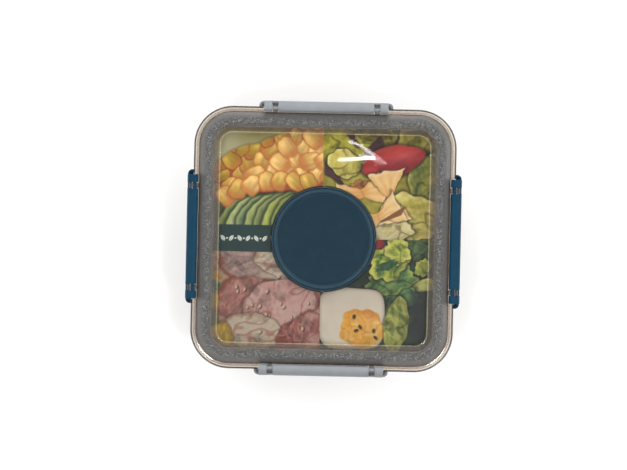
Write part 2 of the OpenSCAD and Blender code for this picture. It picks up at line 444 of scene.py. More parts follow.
def floor_paint():
    """The plain pale floor."""
    n = material("floor_paint")
    return n.opaque(n.ramp(n.noise(0.004), [(0.3, 0.88), (0.7, 0.90)]), 0.7, 0.2)


window_plastic = see_through("smoky_window", (0.93, 0.922, 0.908), 0.002, (0.6, 0.6, 0.58), 0.0, 0.0, 0.03)
border_plastic = frosted()
# painted shade: a dark copy of the smoky plastic on the step from the border down to the flange, for the
# dark line along its foot and beside the clips
seam_shade_plastic = see_through("smoky_seam_painted_shade", (0.34, 0.31, 0.29), 0.45, (0.03, 0.028, 0.026), 0.12, shine=0.1)
edge_plastic = see_through("smoky_edge", (0.50, 0.465, 0.435), 0.30, (0.06, 0.055, 0.05), 0.12, shine=0.2)
rim_plastic = see_through("smoky_rim", (0.80, 0.73, 0.66), 0.36, (0.115, 0.098, 0.08), 0.10, shine=0.3)
# painted highlight: a cream haze on the bead along the window's rounded step, for the bright line of light
# gathered there
bead_highlight_plastic = see_through("smoky_bead_painted_highlight", (0.90, 0.87, 0.76), 0.20, (0.66, 0.60, 0.38), 0.05, shine=1.6)
flange_plastic = see_through("smoky_flange", (0.88, 0.835, 0.785), 0.06, (0.42, 0.39, 0.36), 0.08, 0.004,
    shine=0.5)
bowl_plastic = see_through("smoky_bowl", (0.86, 0.83, 0.80), 0.035, (0.3, 0.28, 0.27), 0.05, 0.003)
hook_plastic = see_through("smoky_hook", (0.62, 0.60, 0.58), 0.35, (0.13, 0.13, 0.135), 0.08)
grey_plastic = moulded("clip_grey_plastic", (0.205, 0.22, 0.235), specular=0.2)
blue_plastic = moulded("clip_blue_plastic", (0.003, 0.034, 0.066), specular=0.09)
sauce_plastic = moulded("sauce_blue_plastic", (0.008, 0.036, 0.065), 0.36, 0.006, 0.09)
# painted highlight: a lighter blue for the narrow edges of the sauce lid
sauce_highlight_plastic = moulded("sauce_blue_painted_highlight", (0.026, 0.072, 0.112), 0.30, 0.004, 0.25)
tray_plastic = moulded("tray_white_plastic", (0.76, 0.765, 0.755), 0.30, 0.006)
silicone = rubber()
card_print = printed()


# ---- Bowl ----

def bowl():
    shape = Shape()
    outer_foot = cavity_foot + bowl_wall
    line = [(corner_c + 0.2, floor_z)]
    line += arc(cavity_foot - 5, floor_z + 5, 5, 5, -90, 0)
    line += softened([(cavity_foot, floor_z + 6), (cavity_top, ledge_z, 0.5), (rim_in, ledge_z, 0.3),
        (rim_in, rim_z, 0.9), (rim_out, rim_z, 0.9), (rim_out, skirt_top, 0.4), (skirt_out, skirt_top, 1.0),
        (skirt_out, skirt_z + 2.9, 0.3), (skirt_out - 0.9, skirt_z, 0.3), (skirt_in, skirt_z, 0.3),
        (skirt_in, skirt_top - 2, 0.5), (rim_out, skirt_top - 2, 0.6), (rim_out, ledge_z - 1.6, 0.6),
        (cavity_top + bowl_wall, ledge_z - 4, 1.0), (outer_foot, foot_h + 8)])
    line += arc(outer_foot - 7, foot_h + 7, 7, 7, 0, -90)
    line += softened([(corner_c + 4.2, foot_h), (corner_c + 3.5, foot_h, 0.4), (corner_c + 3.3, 0, 0.4),
        (corner_c + 0.7, 0, 0.4), (corner_c + 0.5, foot_h, 0.2), (corner_c + 0.2, foot_h)])
    shape.swept(line, cap_lines=True)
    place(made("bowl_shell", shape, [bowl_plastic]), "bowl", "smoky_plastic", "bowl")


# ---- Tray ----

def tray():
    shape = Shape()
    wall = 1.6
    floor, top = tray_lo.z, tray_hi.z
    out = cavity_foot + 1.6
    line = [(corner_c + 1, floor)]
    line += arc(out - 4, floor + 4, 4, 4, -90, 0)
    line += softened([(out, floor + 5), (out, top - wall, 0.6), (tray_hi.x, top - wall, 0.5),
        (tray_hi.x, top, 0.7), (out - wall, top, 0.7), (out - wall, floor + 5)])
    line += arc(out - 4, floor + 4, 4 - wall, 4 - wall, 0, -90)
    line += [(corner_c + 1, floor + wall)]
    shape.swept(line, cap_lines=True)
    # the four walls between the compartments, with rounded tops and filleted feet
    wing_top = top - 0.4
    half = softened([(1.0, wing_top - 3), (1.0, wing_top, 0.9), (0, wing_top)])
    foot = softened([(2.6, floor + wall - 0.1), (1.0, floor + wall, 1.6), (1.0, floor + 6)])
    side = foot + half
    outline = side + [(-x, z) for x, z in reversed(side[:-1])]
    wing = Shape()
    wing.bar(outline, well_r + 0.9, out - wall / 2)
    for quarter in range(4):
        shape.add(wing, quarter)
    ring = softened([(well_r, floor + 0.4), (well_r, wing_top, 0.8), (well_r + 1.8, wing_top, 0.8),
        (well_r + 1.8, floor + wall, 1.4), (well_r + 3.4, floor + wall - 0.1), (well_r + 3.4, floor + 0.4)])
    shape.lathe(ring, closed=True)
    place(made("tray_insert", shape, [tray_plastic]), "tray", "tray_white", "tray")


# ---- Sauce cup, its seal and its lid ----

def sauce_cup():
    shape = Shape()
    flange = rim_z - 3.7
    outer, foot = sauce_r - 2.2, sauce_r - 5.2
    line = softened([(foot - 6, cup_lo.z), (foot, cup_lo.z, 2.2), (outer, flange, 0.3),
        (cup_hi.x, flange, 0.4), (cup_hi.x, flange + 1.6, 0.5), (outer + 0.3, flange + 1.6, 0.3),
        (outer + 0.3, cup_hi.z, 0.5), (outer - 1.2, cup_hi.z, 0.5), (outer - 1.2, flange, 0.5),
        (foot - 1.5, cup_lo.z + 2.5, 1.5), (foot - 4, cup_lo.z + 1.5, 1.0), (foot - 6, cup_lo.z + 1.5)])
    shape.lathe(line, cap_lines=True)
    place(made("sauce_cup_shell", shape, [bowl_plastic]), "sauce_cup", "smoky_plastic", "sauce_cup")


def sauce_seal():
    shape = Shape()
    out, inside = ring_hi.x, ring_hi.x - 2.5
    low, high = ring_lo.z, ring_hi.z
    line = softened([(inside, low), (out, low, 0.2), (out, high, 0.2), (inside, high, 0.2),
        (inside, low + 0.05)])
    shape.lathe(line, closed=True)
    place(made("sauce_seal_ring", shape, [silicone]), "sauce_lid", "silicone", "sauce_seal")


def sauce_lid():
    shape = Shape()
    r = sauce_r
    top, skirt = sauce_hi.z, sauce_lo.z
    under = top - 1.4
    step = r - 4.6
    line = softened([(20, under), (r - 1.6, under, 0.2), (r - 1.6, skirt, 0.3),
        (r, skirt, 0.3), (r, top - 0.5, 0.3), (r - 0.5, top, 0.4),
        (r - 1.1, top, 0.2), (r - 1.35, top - 0.45, 0.15), (r - 1.7, top - 0.45, 0.15),
        (r - 1.95, top, 0.2), (step + 1.0, top, 0.3), (step + 0.4, top - 0.75, 0.3),
        (step - 0.3, top - 0.75, 0.3), (step - 0.7, top - 0.5, 0.3), (20, top - 0.5)])
    shape.lathe(line, cap_lines=True, steps=160)
    # painted highlight: the narrow edges that catch the light get a lighter blue
    highlit_radii = (r - 0.35, r - 1.95, step + 0.85)
    for k, face in enumerate(shape.faces):
        x, y, z = shape.points[face[0]]
        if z > top - 0.6 and min(abs(math.hypot(x, y) - at) for at in highlit_radii) < 0.27:
            shape.slots[k] = 1
    disc = made("sauce_lid_disc", shape, [sauce_plastic, sauce_highlight_plastic])
    place(disc, "sauce_lid", "sauce_blue", "sauce_lid")


# ---- Lid, its hooks and its seal ----

def notch(h, along):
    """The flange is cut back where each barrel turns."""
    limit = border_out + 0.64
    squeeze = 0.005
    if abs(along) < barrel_half + notch_room and h > limit:
        return limit + (h - limit) * squeeze
    return h


def lid():
    shape = Shape()
    cap = corner_c + 2
    step_h = edge - 2.0
    side_h = edge - 1.1
    frost_in = border_in + 1.2
    # (material, points): each part runs on from the last point of the part before it
    parts = [
        (0, [(window_half - 1.5, window_z)]),
        # the bead, whose cream haze is a painted highlight
        (5, [(window_half - 1.35, window_z + 0.16, 0.15), (window_half - 0.85, window_z + 0.16, 0.15),
             (window_half - 0.7, window_z)]),
        (4, [(window_half - 0.2, window_z + 0.2, 0.3), (window_half, window_z + 0.25),
             (border_in, crown(border_in), 0.3), (frost_in, crown(frost_in))]),
        (2, [(h, crown(h)) for h in np.linspace(frost_in, border_out, 19)[1:]]),
        # the step down to the flange, painted dark as shade
        (6, [(border_out + 0.3, flange_top + 0.1, 0.2), (border_out + 0.8, flange_top)]),
        (3, [(step_h - 0.2, flange_top, 0.2), (step_h, flange_top - 0.3, 0.2),
             (side_h, flange_top - 0.3)]),
        (1, [(edge, flange_top - 0.3, 0.7), (edge, flange_under, 0.7), (side_h, flange_under)]),
        (3, [(channel_out, flange_under, 0.3), (channel_out, channel_z, 0.3),
             (channel_in, channel_z, 0.3), (channel_in, lip_z, 0.4), (border_in + 0.3, lip_z, 0.4),
             (border_in + 0.3, window_under, 0.3), (border_in - 1, window_under)]),
        (0, [(cap, window_under)]),
    ]
    line, slots = [(cap, window_z)], []
    for look, points in parts:
        points = softened([line[-1], *points])[1:]
        line += points
        slots += [look] * len(points)
    end = barrel_half + notch_room
    shape.swept(line, (-end - 0.15, -end + 0.01, end - 0.01, end + 0.15), notch, 20, cap_lines=True,
        slots=slots)
    looks = [window_plastic, edge_plastic, border_plastic, flange_plastic, rim_plastic, bead_highlight_plastic,
        seam_shade_plastic]
    place(made("lid_shell", shape, looks), "lid", "smoky_plastic", "lid")


def lid_hooks():
    """Eight J-hooks, open at the top, that cradle the clips' pins."""
    hook, shape = Shape(), Shape()
    root = border_out - pin_x - 0.6
    seat = pin_r + pin_gap
    line = [(root, 0.6), (root, -2.9)]
    line += arc(1.8, -1, 1.9, 1.9, -90, 0, 6)
    line += arc(3.1, 0.6, 0.6, 0.6, 0, 90, 4)
    line += arc(0, 0, seat, seat, 47.4, -206.8, 16)
    width = slot_w - 0.6
    hook.bar(line, -width / 2, width / 2)
    for quarter in range(4):
        for side in (-1, 1):
            shape.add(hook, quarter, (pin_x, side * slot_at, pin_z))
    place(made("lid_hooks", shape, [hook_plastic], bevel=0.25), "lid", "smoky_plastic")


def lid_seal():
    shape = Shape()
    inner, outer, low, high = channel_in + 0.1, gasket_hi.x, gasket_lo.z, gasket_hi.z
    line = softened([(inner, high), (inner, low + 0.8, 0.3), (inner + 0.8, low, 0.4),
        (inner + 2.2, low, 0.4), (inner + 2.8, low + 0.7, 0.4), (outer - 2.8, low + 0.7, 0.4),
        (outer - 2.0, low, 0.4), (outer - 1.0, low, 0.4), (outer, low + 1, 0.3), (outer, high, 0.1),
        (inner + 0.05, high)])
    shape.swept(line, closed=True)
    place(made("lid_gasket", shape, [silicone]), "lid", "silicone", "lid_seal")


# ---- Clips ----

def flap_bottom(y):
    """Height of the flap's lower edge, with rounded corners."""
    radius = 5
    into = max(0.0, abs(y) - (flap_half - radius))
    return clip_lo.z - pin_z + radius - math.sqrt(max(0.0, radius ** 2 - into ** 2))


def clip_shape():
    """One clip about its hinge axis: X outwards, Y along the axis."""
    shape = Shape()
    flap_out = clip_hi.x - pin_x
    wall = 1.8
    flap_in = flap_out - wall
    barrel_r, shoulder, slot_floor = 2.5, -5.9, -4.6
    upper = [(flap_in, -barrel_r)] + arc(0, 0, barrel_r, barrel_r, 270, 90, 20)
    upper += arc(0, -2, flap_out, barrel_r + 2, 90, 0, 14)[1:]
    count = 5 + len(upper) + 1
    every = list(range(count))
    low = [0, 1, 2, 3]
    slot = low + [4, count - 1]
    over_slot = [4, *range(5, count)]
    over_low = [3, *over_slot, 0]
    gap0, gap1 = slot_at - slot_w / 2, slot_at + slot_w / 2
    stations = [(-barrel_half, every), (-40, every), (-gap1, slot), (-gap0, every), (gap0, slot),
        (gap1, every), (40, every), (barrel_half, None)]
    rows = []
    for y, _ in stations:
        bottom = flap_bottom(y)
        loop = [(flap_out, shoulder), (flap_out, bottom), (flap_in, bottom), (flap_in, shoulder),
            (flap_in, slot_floor), *upper, (flap_out, slot_floor)]
        rows.append([(x, y, z) for x, z in loop])
    shape.points = [p for row in rows for p in row]
    for i, (y, used) in enumerate(stations):
        if used:
            for a, b in zip(used, used[1:] + used[:1]):
                shape.faces.append([i * count + a, (i + 1) * count + a, (i + 1) * count + b, i * count + b])
        if abs(y) in (gap0, gap1):
            shape.faces.append([i * count + v for v in over_slot])
        if abs(y) == barrel_half:
            shape.faces.append([i * count + v for v in over_low])
    shape.slots = [0] * len(shape.faces)
    # the ends of the flap curl in towards the box
    for side in (-1, 1):
        turn = 3.0
        centre = (flap_out - turn, flap_half - turn)
        outer = [(flap_out, barrel_half)] + arc(*centre, turn, turn, 0, 90, 8) + [(1.2, flap_half)]
        inner = [(flap_in, barrel_half)] + arc(*centre, turn - wall, turn - wall, 0, 90, 8)
        inner += [(1.2, flap_half - wall)]
        curl = []
        for (xo, yo), (xi, yi) in zip(outer, inner):
            bottom = flap_bottom(yo)
            curl.append([(xo, side * yo, shoulder), (xo, side * yo, bottom), (xi, side * yi, bottom),
                (xi, side * yi, shoulder)])
        ends = Shape()
        ends.grid(curl, closed=True)
        last = len(ends.points)
        ends.faces.append([last - 4, last - 3, last - 2, last - 1])
        ends.slots.append(0)
        shape.add(ends)
        sides = sorted((side * (barrel_half - 0.5), side * (flap_half - 1)))
        shape.bar([(1.4, shoulder - 2.6), (flap_in + 0.5, shoulder - 2.6), (flap_in + 0.5, shoulder - 1.2),
            (1.4, shoulder - 1.2)], *sides)
    # catch on the inside of the flap
    reach, low_z = skirt_out - pin_x, skirt_z - pin_z
    slope = 0.9 / 2.9
    tip = reach - 0.75
    catch = [(flap_in + 0.3, low_z - 3.6), (flap_in + 0.3, low_z - 1.2), (reach + 1.9, low_z - 0.4),
        (reach + 1.4, low_z + 2.5), (tip + slope * 2.5, low_z + 2.5), (tip - slope * 0.8, low_z - 0.8),
        (tip - slope * 0.8, low_z - 1.4), (tip + 0.6, low_z - 2.2)]
    catch_half = 30
    shape.bar(catch, -catch_half, catch_half)
    # pins across the slots
    for side in (-1, 1):
        middle = side * slot_at
        shape.bar(arc(0, 0, pin_r, pin_r, 0, 345, 23), middle - slot_w / 2 - 0.6, middle + slot_w / 2 + 0.6)
    return shape


def clips():
    master = clip_shape()
    looks = [(blue_plastic, "clip_blue"), (grey_plastic, "clip_grey")]
    for quarter, side in enumerate(("right", "back", "left", "front")):
        look, slot = looks[quarter % 2]
        shape = Shape()
        shape.add(master, quarter, (pin_x, 0, pin_z))
        piece = made(f"snap_clip_{side}", shape, [look], bevel=0.3)
        place(piece, f"clip_{side}", slot, f"clip_{side}")


# ---- Printed card ----

def card_outline(angle):
    """Distance from the middle to the card's rounded edge in one direction."""
    c, s = abs(math.cos(angle)), abs(math.sin(angle))
    half_x, half_y = card_hi.x, card_hi.y
    radius = half_y - corner_c + 1
    near_x = half_x / c if c > 1e-9 else 1e9
    near_y = half_y / s if s > 1e-9 else 1e9
    far = min(near_x, near_y)
    cx, cy = half_x - radius, half_y - radius
    if far * c > cx and far * s > cy:
        along = cx * c + cy * s
        far = along + math.sqrt(max(0.0, along ** 2 - cx ** 2 - cy ** 2 + radius ** 2))
    return far


def lattice_noise(x, y, seed):
    """Smooth noise from 0 to 1 with one feature per unit."""
    table = np.random.RandomState(seed).rand(64, 64)
    xi, yi = np.floor(x).astype(int), np.floor(y).astype(int)
    fx, fy = x - xi, y - yi
    fx, fy = fx * fx * (3 - 2 * fx), fy * fy * (3 - 2 * fy)
    low = table[yi % 64, xi % 64] * (1 - fx) + table[yi % 64, (xi + 1) % 64] * fx
    high = table[(yi + 1) % 64, xi % 64] * (1 - fx) + table[(yi + 1) % 64, (xi + 1) % 64] * fx
    return low * (1 - fy) + high * fy


def ease(value, start, end):
    """0 at start, 1 at end, smooth between; start may be above end."""
    t = np.clip((value - start) / (end - start), 0, 1)
    return t * t * (3 - 2 * t)


def rgb(colour):
    """Colours from 0 to 1; a tuple is taken to be from 0 to 255."""
    return np.array(colour, float) / 255 if isinstance(colour, tuple) else colour


def over(under, colour, share):
    """One colour laid over another, with a share from 0 to 1 at each point."""
    share = share[:, None] if np.ndim(share) else share
    return rgb(under) * (1 - share) + rgb(colour) * share


class Picture:
    """A picture painted at points of the card, in millimetres from its middle, in sRGB."""

    def __init__(self, x, y):
        self.x, self.y = x, y
        self.colours = np.zeros((len(x), 3))

    def noise(self, size, seed, octaves=3, stretch=1.0, turn=0):
        """Layered noise from 0 to 1; stretch draws it out along the turned X axis."""
        c, s = math.cos(math.radians(turn)), math.sin(math.radians(turn))
        along = (self.x * c + self.y * s) / size / stretch
        across = (self.y * c - self.x * s) / size
        total = sum(lattice_noise(along * 2 ** k + 9 * k, across * 2 ** k, seed + k) / 2 ** k
            for k in range(octaves))
        return total / sum(1 / 2 ** k for k in range(octaves))

    def ridges(self, size, seed, width, stretch=1.0, turn=0):
        """Wandering lines, 1 along their middle; width is their share of the ground."""
        level = self.noise(size, seed, 3, stretch, turn)
        return 1 - np.clip(np.abs(level - 0.5) / width, 0, 1)

    def oval(self, cx, cy, rx, ry, turn=0, power=2.0, wave=0.0, waves=5, seed=1):
        """(q, u, v): q is 0 in the middle and 1 on the outline, and u and v run along its axes."""
        c, s = math.cos(math.radians(turn)), math.sin(math.radians(turn))
        dx, dy = self.x - cx, self.y - cy
        u, v = (dx * c + dy * s) / rx, (dy * c - dx * s) / ry
        q = (np.abs(u) ** power + np.abs(v) ** power) ** (1 / power)
        if wave:
            a = np.arctan2(v, u)
            q = q / (1 + wave * np.sin(waves * a + seed) + wave * 0.6
                * np.sin((2 * waves + 1) * a + 2.3 * seed))
        return q, u, v

    def lay(self, colour, cover):
        self.colours = over(self.colours, colour, cover)

    def light(self, amount):
        """Brightens where amount is above 0 and darkens where it is below."""
        self.colours = np.clip(self.colours * (1 + amount[:, None]), 0, 1)

    def patch(self, colour, q, edge, reach, depth):
        """Lays a colour inside the outline q = 1, over a shadow that reaches a little past it."""
        self.light(-depth * ease(q, reach, 0.96))
        self.lay(np.clip(rgb(colour), 0, 1), ease(q, 1.0, edge))

    def mottled(self, colour, low, span, size, seed, octaves=3, **way):
        """A colour made darker and lighter by noise."""
        return rgb(colour) * (low + span * self.noise(size, seed, octaves, **way))[:, None]

    def between(self, dark, pale, size, seed):
        """A ground of two colours, shared out by noise."""
        return over(dark, pale, self.noise(size, seed))

    def facet(self, points):
        """How far inside a convex outline each point is, in millimetres; points run anticlockwise."""
        inside = np.full(len(self.x), 1e9)
        for (x0, y0), (x1, y1) in zip(points, points[1:] + points[:1]):
            length = math.hypot(x1 - x0, y1 - y0)
            inside = np.minimum(inside, ((x1 - x0) * (self.y - y0) - (y1 - y0) * (self.x - x0)) / length)
        return inside


# -- Food, each painted on a picture p --

def kernel(p, cx, cy, wide, tall, turn, tone, seed):
    """A kernel of sweetcorn: a rounded tooth with a paler tip and an orange foot."""
    q, u, v = p.oval(cx, cy, wide, tall, turn, 2.7, 0.05, 3, seed)
    q = q * (1 + 0.16 * np.clip(v, -1.2, 1.2))
    p.lay(over((132, 62, 34), (196, 128, 78), tone), 0.85 * ease(q, 1.22, 1.02))
    streaks = lattice_noise(u * 4.2 + seed, v * 0.9 + seed, seed % 17 + 3)
    shade = 0.10 * v - 0.10 * u + 0.20 * (streaks - 0.5)
    colour = over((176, 142, 44), (232, 188, 116), tone) * (1 + shade)[:, None]
    colour = over(colour, (196, 110, 48), ease(v, -0.3, -1.0) * 0.6)
    colour = over(colour, (205, 130, 62), ease(q, 0.78, 1.0) * 0.5)
    glow = np.exp(-((u + 0.25) ** 2 + (v - 0.35) ** 2) * 7)[:, None]
    p.lay(np.clip(colour + glow * rgb((28, 32, 30)), 0, 1), ease(q, 1.03, 0.95))


def corn(p):
    p.lay(p.mottled((150, 70, 45), 0.8, 0.5, 9, 5), 1.0)
    p.lay(p.mottled((70, 78, 44), 0.7, 0.6, 9, 5), ease(p.y, 27, 22))
    draw = np.random.RandomState(41)
    spots = [(-79 + col * 10.6 + 5.3 * (row % 2), 78 - row * 8.6) for row in range(9) for col in range(9)]
    for k in draw.permutation(len(spots)):
        cx, cy = np.array(spots[k]) + draw.uniform(-1.6, 1.6, 2)
        turn = draw.uniform(-75, 75)
        wide, tall = draw.uniform(4.6, 5.6), draw.uniform(5.4, 6.9)
        # painted reflection: kernels past a diagonal across the top-left corner are paler and warmer, as
        # under a reflection haze on the lid, and those in the corner darker and greener; the random share
        # is the kernels' own tone
        tone = float(ease(cx - cy + 96, -12, 10)) * 0.75 + draw.uniform(0, 0.25)
        if cy > min(30 + 0.4 * (cx + 70), 41) and cx < 6:
            kernel(p, cx, cy, wide, tall, turn, tone, int(k) + 1)
    # the rim of a pale plate behind the kernels
    past = p.y - 82 - 0.38 * p.x + 0.004 * (p.x + 45) ** 2 + 5 * (p.noise(9, 77, 1) - 0.5)
    cover = ease(past, -0.9, 0.9) * ease(p.x, -22, -34)
    tone = np.clip(p.noise(14, 12) + 0.5 * ease(p.x, -40, -70), 0, 1)
    p.lay(over((132, 122, 62), (178, 176, 140), tone), cover)
    p.light(-0.30 * ease(past, 2.2, -0.6) * cover)


def near_corn(p):
    """The nearer kernels, which lie over the slices of cucumber."""
    draw = np.random.RandomState(5)
    for k in range(7):
        cx = -67 + 9.3 * k
        kernel(p, cx, min(28 + 0.42 * (cx + 70), 39.5) + draw.uniform(-1, 1), draw.uniform(4.7, 5.6),
            draw.uniform(5.6, 6.9), draw.uniform(-50, 50), draw.uniform(0.3, 1), 70 + k)


def cucumber(p):
    """A fan of slices along the bottom of the corn, over which the nearer kernels lie."""
    tints = [(86, 104, 52), (146, 160, 112), (78, 100, 76), (136, 152, 92), (84, 96, 62), (150, 160, 70),
        (92, 108, 50), (120, 134, 70), (70, 86, 48)]
    for k, tint in enumerate(tints):
        radius = 25 - 0.3 * k
        q, u, v = p.oval(-73 + 6.1 * k + radius, 3 + 0.9 * k, radius, radius * 1.05, 0, 2.0, 0.012, 9, k)
        skin = p.mottled((58, 74, 44), 0.8, 0.5, 2.2, 60 + k)
        flesh = p.mottled(tint, 0.78, 0.45, 6, 30 + k, stretch=0.4)
        flesh = over(flesh, (188, 196, 128), ease(q, 0.78, 0.93) * 0.55)
        p.patch(over(flesh, skin, ease(q, 0.93, 0.965)), q, 0.975, 1.06, 0.5)


def ham_slice(p, cx, cy, rx, ry, turn, meat, rim_colour, rim, fat, seed):
    q, u, v = p.oval(cx, cy, rx, ry, turn, 2.3, 0.05, 4, seed)
    grain = p.noise(1.3, seed + 100, 2)
    fibre = p.noise(1.8, seed + 120, 2, 4.0, turn + 60)
    cloudy = p.noise(7, seed + 140, 3, 2.2, turn + 30)
    colour = rgb(meat) * (0.52 + 0.40 * cloudy + 0.28 * grain + 0.32 * fibre)[:, None]
    if fat:
        colour = over(colour, fat, ease(cloudy, 0.50, 0.68) * 0.8)
    colour = over(colour, (232, 200, 188), 0.45 * p.ridges(5, seed + 210, 0.05, 3.0, turn + 60))
    colour = over(colour, (158, 76, 66), 0.55 * p.ridges(12, seed + 230, 0.035, 2.0, turn + 15))
    uneven = ease(p.noise(11, seed + 170, 2), 0.38, 0.62)
    colour = over(colour, rgb(rim_colour) * (0.8 + 0.4 * grain)[:, None],
        ease(q, 1 - rim * (0.6 + 1.4 * uneven), 1 - rim * 0.3) * (0.35 + 0.65 * uneven))
    q = q + 0.07 * (p.noise(3.5, seed + 190, 2) - 0.5)
    p.patch(colour, q, 0.96, 1.10, 0.35)


def seed_at(p, cx, cy, turn, colour, size=1.0):
    q, u, v = p.oval(cx + 0.5, cy - 0.4, 1.7 * size, 1.15 * size, turn, 2.0)
    p.light(-0.55 * ease(q, 1.3, 0.6))
    q, u, v = p.oval(cx, cy, 1.45 * size, 0.85 * size, turn, 2.0)
    p.lay(colour, ease(q, 1.2, 0.75))
    p.light(0.18 * np.exp(-((u + 0.3) ** 2 + (v - 0.3) ** 2) * 6))


def ham(p):
    p.lay(p.between((168, 112, 104), (206, 160, 150), 8, 3), 1.0)
    slices = [  # centre, half sizes, turn, meat, rim, rim share, fat
        (-66, -20, 17, 24, 10, (196, 160, 130), (150, 78, 56), 0.16, None),
        (-12, -50, 30, 30, -20, (178, 112, 106), (140, 56, 50), 0.10, (206, 160, 152)),
        (-48, -19, 24, 15, -35, (182, 152, 146), (164, 92, 70), 0.10, (206, 190, 168)),
        (-30, -16, 17, 10, -25, (206, 190, 170), (182, 150, 118), 0.12, None),
        (-50, -41, 22, 15, 5, (178, 122, 114), (156, 76, 48), 0.10, None),
        (-29, -47, 26, 19, 18, (208, 158, 152), (186, 128, 120), 0.06, (226, 186, 178)),
        (-46, -63, 22, 12, -8, (198, 182, 156), (178, 140, 118), 0.10, (216, 204, 182)),
        (-22, -67, 8, 12, -28, (158, 82, 74), (140, 58, 54), 0.12, None),
        (-8, -63, 13, 14, 30, (172, 106, 100), (146, 70, 62), 0.10, (204, 160, 150)),
        (-68, -66, 9, 9, 20, (196, 164, 66), (160, 120, 60), 0.15, None),
    ]
    for k, row in enumerate(slices):
        ham_slice(p, *row, k + 2)
    for cy, tint in ((-27, (204, 152, 44)), (-33.5, (62, 108, 62)), (-43, (192, 168, 62)),
            (-55, (96, 112, 60))):
        q, u, v = p.oval(-74, cy, 5.5, 5.2, 20, 2.2, 0.08, 3, -cy)
        p.lay(p.mottled(tint, 0.85, 0.3, 2, 9), ease(q, 1.05, 0.85))
    dark = p.noise(5, 201, 3, 2.5, -40)
    p.light(-0.22 * ease(dark, 0.62, 0.8))
    draw = np.random.RandomState(7)
    for _ in range(15):
        cx, cy = draw.uniform(-62, -8), draw.uniform(-66, -24)
        seed_at(p, cx, cy, draw.uniform(0, 180), (226, 196, 164), draw.uniform(0.75, 1.1))


def leaf(p, cx, cy, rx, ry, turn, dark, pale, rim, seed, ribs=5, wave=0.09, waves=6, rim_w=0.12):
    """A crinkled leaf with a midrib, side veins and a paler frilled edge."""
    q, u, v = p.oval(cx, cy, rx, ry, turn, 2.2, wave, waves, seed)
    crinkle = p.noise(4.5, seed + 300, 3, 1.8, turn + 55)
    bent = u + 0.35 * (p.noise(8, seed + 320) - 0.5)
    veins = np.abs((bent * ribs + np.abs(v) * ribs * 0.7 + seed) % 1 - 0.5) * 2
    folds = p.noise(2.6, seed + 350, 2, 3.5, turn + 20)
    mixed = 0.75 * crinkle + 0.75 * (folds - 0.35)
    mixed = mixed + 0.16 * ease(veins, 0.6, 1.0) + 0.2 * ease(np.abs(v), 0.12, 0.0)
    mixed = np.clip(1.55 * mixed - 0.30 + 0.45 * p.ridges(7, seed + 400, 0.05, 2.2, turn + 40), 0, 1)
    colour = over(dark, pale, mixed)
    colour = over(colour, rgb(rim) * (0.8 + 0.3 * crinkle)[:, None],
        ease(q, 1 - rim_w * 1.8, 1 - rim_w * 0.4) * (0.2 + 0.8 * crinkle))
    creases = p.ridges(9, seed + 430, 0.06, 1.8, turn - 35)
    p.patch(colour * (1 + 0.10 * v - 0.38 * creases)[:, None], q, 0.97, 1.18, 0.55)


def pasta(p, cx, cy, size, turn, warm):
    """A bow of pasta: two ridged fans that meet in a pinch."""
    for side in (-1, 1):
        q, u, v = p.oval(cx, cy, size, size * 0.62, turn, 1.0)
        u = u + 0.22 * (p.noise(4.5, int(size * 9), 2) - 0.5)
        v = v + 0.34 * (p.noise(5.5, int(size * 7), 2) - 0.5)
        fan = side * u
        spread = np.abs(v) / (0.28 + 0.95 * np.clip(fan, 0, 2))
        inside = np.minimum(ease(spread, 1.0, 0.93), ease(fan, -0.05, 0.02)) * ease(fan, 1.04, 1.0)
        ridges = 0.5 + 0.5 * np.cos(v / (0.25 + np.clip(fan, 0, 2)) * 11)
        ridges = 0.7 * ridges + 0.6 * (p.noise(3, int(size * 5), 2) - 0.3)
        cream = np.clip(0.35 + 0.45 * ridges - 0.5 * (1 - ease(fan, 0.0, 0.55)) + 0.2 * warm, 0, 1)
        colour = over((224, 164, 92), (246, 216, 160), cream)
        colour = over(colour, (244, 222, 178), ease(fan, 0.86, 0.97) * 0.8)
        p.light(-0.45 * ease(spread, 1.25, 0.95) * ease(fan, -0.1, 0.1) * ease(fan, 1.15, 1.0))
        p.lay(colour, inside)


